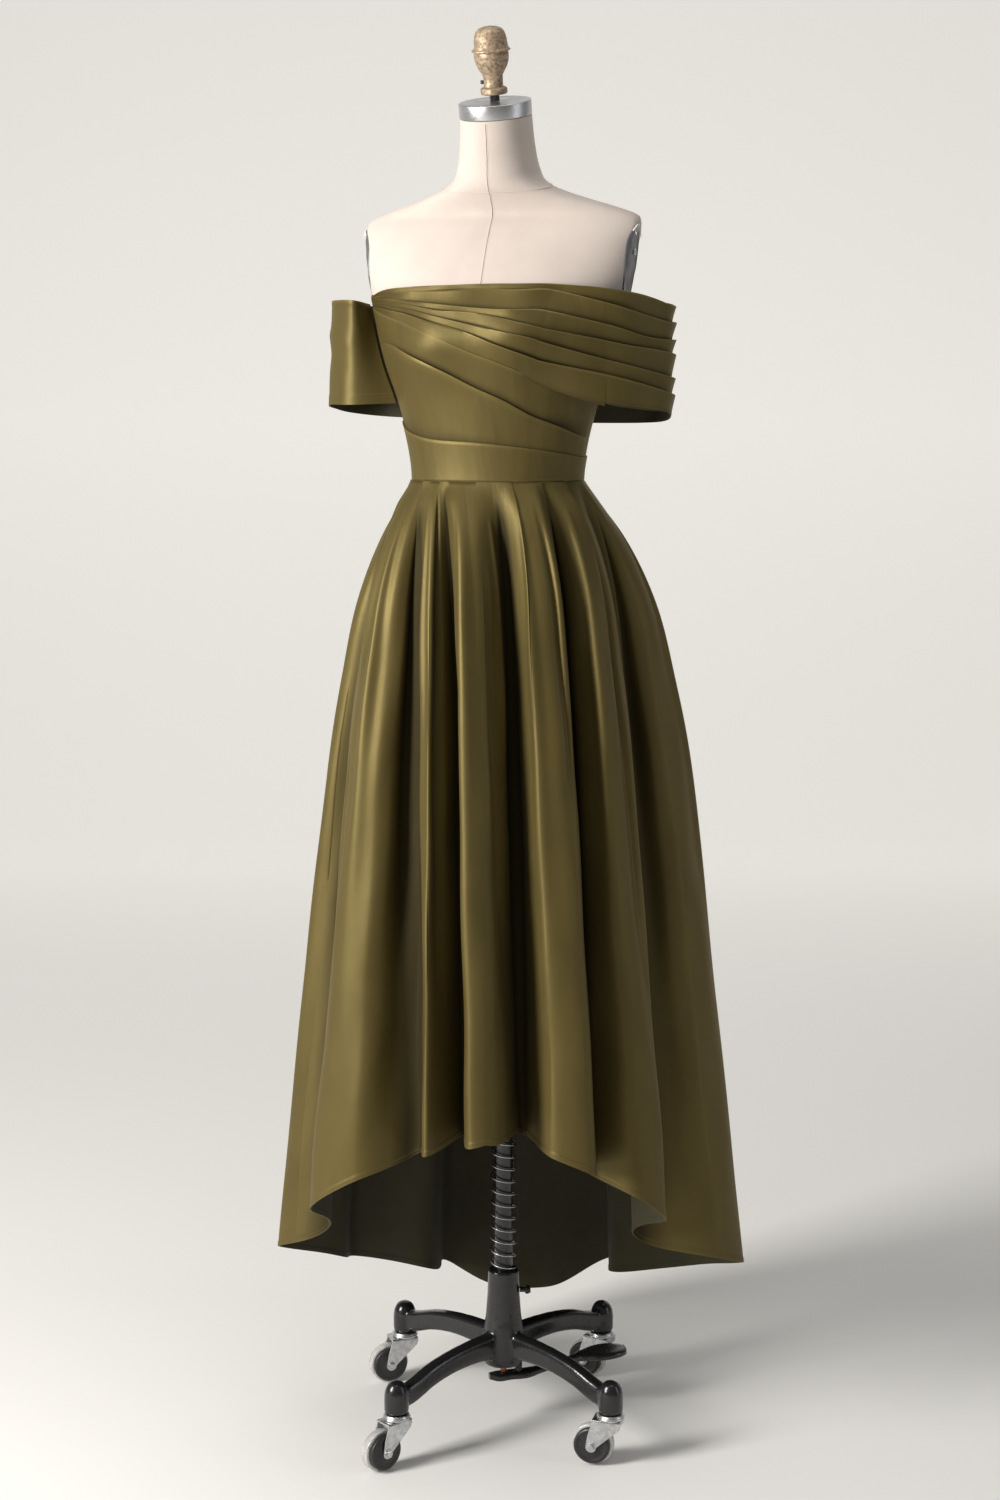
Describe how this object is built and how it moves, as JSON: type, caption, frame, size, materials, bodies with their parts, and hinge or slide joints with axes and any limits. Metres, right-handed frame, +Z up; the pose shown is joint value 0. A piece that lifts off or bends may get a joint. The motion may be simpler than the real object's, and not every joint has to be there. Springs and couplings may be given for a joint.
{
  "type": "off-shoulder dress on a dress form",
  "caption": "Off-shoulder high-low satin dress with a pleated drape, worn by a limbless dress form on a sprung pole and castor base.",
  "frame": {"origin": "middle of the floor under the whole part", "axes": "+Z up, the form faces -Y, +X to the form's left"},
  "size_m": [0.6662, 0.632, 2.014],
  "materials": {
    "olive_satin": "soft satin sheen",
    "cream_jersey": "matt knit cover",
    "grey_plate": "satin grey",
    "brushed_steel": "turned and brushed",
    "aged_bronze": "aged, pitted",
    "black_iron": "gloss black paint",
    "zinc_plate": "bright zinc plate",
    "black_core": "gloss black",
    "clear_tread": "clear, scuffed",
    "copper_link": "copper red"
  },
  "bodies": {
    "stand": {"base_casting": "black_iron", "set_screw": "black_iron", "pedal_bracket": "black_iron", "spring": "zinc_plate", "castor_head_front_right": "zinc_plate", "castor_head_back_right": "zinc_plate", "castor_head_back_left": "zinc_plate", "castor_head_front_left": "zinc_plate"},
    "pole": {"pole": "black_iron", "spring_stop": "black_iron"},
    "form": {"form_flange": "black_iron", "form_torso": "cream_jersey", "arm_plate_left": "grey_plate", "arm_plate_right": "grey_plate", "neck_cap": "brushed_steel", "finial_nut": "black_iron", "finial": "aged_bronze", "bodice_front": "olive_satin", "bust_drape": "olive_satin", "sleeve_left": "olive_satin", "sleeve_right": "olive_satin", "midriff_front": "olive_satin", "midriff_back_left": "olive_satin", "midriff_back_right": "olive_satin", "bodice_back_left": "olive_satin", "bodice_back_right": "olive_satin", "skirt_front": "olive_satin", "skirt_side_left": "olive_satin", "skirt_side_right": "olive_satin", "skirt_back_left": "olive_satin", "skirt_back_right": "olive_satin"},
    "pedal": {"pedal": "black_iron", "pedal_link": "copper_link"},
    "castor_front_right": {"castor_fork_front_right": "zinc_plate", "castor_axle_front_right": "zinc_plate"},
    "wheel_front_right": {"wheel_core_front_right": "black_core", "wheel_tread_front_right": "clear_tread"},
    "castor_back_right": {"castor_fork_back_right": "zinc_plate", "castor_axle_back_right": "zinc_plate"},
    "wheel_back_right": {"wheel_core_back_right": "black_core", "wheel_tread_back_right": "clear_tread"},
    "castor_back_left": {"castor_fork_back_left": "zinc_plate", "castor_axle_back_left": "zinc_plate"},
    "wheel_back_left": {"wheel_core_back_left": "black_core", "wheel_tread_back_left": "clear_tread"},
    "castor_front_left": {"castor_fork_front_left": "zinc_plate", "castor_axle_front_left": "zinc_plate"},
    "wheel_front_left": {"wheel_core_front_left": "black_core", "wheel_tread_front_left": "clear_tread"}
  },
  "joints": [
    {"name": "height_slide", "type": "slide", "parent": "stand", "child": "pole", "axis": [0, 0, 1], "range_m": [0, 0.07], "deforming": ["spring"]},
    {"name": "form_turn", "type": "hinge", "parent": "pole", "child": "form", "pos_m": [-0.006, -0.02, 1.15], "axis": [0, 0, 1], "continuous": true},
    {"name": "pedal_tip", "type": "hinge", "parent": "stand", "child": "pedal", "pos_m": [0.01223, -0.00861, 0.0823], "axis": [-0.5299, 0.848, 0], "range_deg": [0, 8], "stiffness_Nm_per_rad": 4, "springref_deg": -8.59},
    {"name": "swivel_front_right", "type": "hinge", "parent": "stand", "child": "castor_front_right", "pos_m": [0.18516, -0.12164, 0.0716], "axis": [0, 0, 1], "continuous": true},
    {"name": "roll_front_right", "type": "hinge", "parent": "castor_front_right", "child": "wheel_front_right", "pos_m": [0.15917, -0.12255, 0.03], "axis": [0.0349, -0.9994, 0], "continuous": true},
    {"name": "swivel_back_right", "type": "hinge", "parent": "stand", "child": "castor_back_right", "pos_m": [0.09564, 0.17116, 0.0716], "axis": [0, 0, 1], "continuous": true},
    {"name": "roll_back_right", "type": "hinge", "parent": "castor_back_right", "child": "wheel_back_right", "pos_m": [0.07031, 0.17701, 0.03], "axis": [-0.225, -0.9744, 0], "continuous": true},
    {"name": "swivel_back_left", "type": "hinge", "parent": "stand", "child": "castor_back_left", "pos_m": [-0.19716, 0.08164, 0.0716], "axis": [0, 0, 1], "continuous": true},
    {"name": "roll_back_left", "type": "hinge", "parent": "castor_back_left", "child": "wheel_back_left", "pos_m": [-0.21792, 0.06599, 0.03], "axis": [0.6018, -0.7986, 0], "continuous": true},
    {"name": "swivel_front_left", "type": "hinge", "parent": "stand", "child": "castor_front_left", "pos_m": [-0.10764, -0.21116, 0.0716], "axis": [0, 0, 1], "continuous": true},
    {"name": "roll_front_left", "type": "hinge", "parent": "castor_front_left", "child": "wheel_front_left", "pos_m": [-0.1218, -0.23296, 0.03], "axis": [0.8387, -0.5446, 0], "continuous": true}
  ]
}
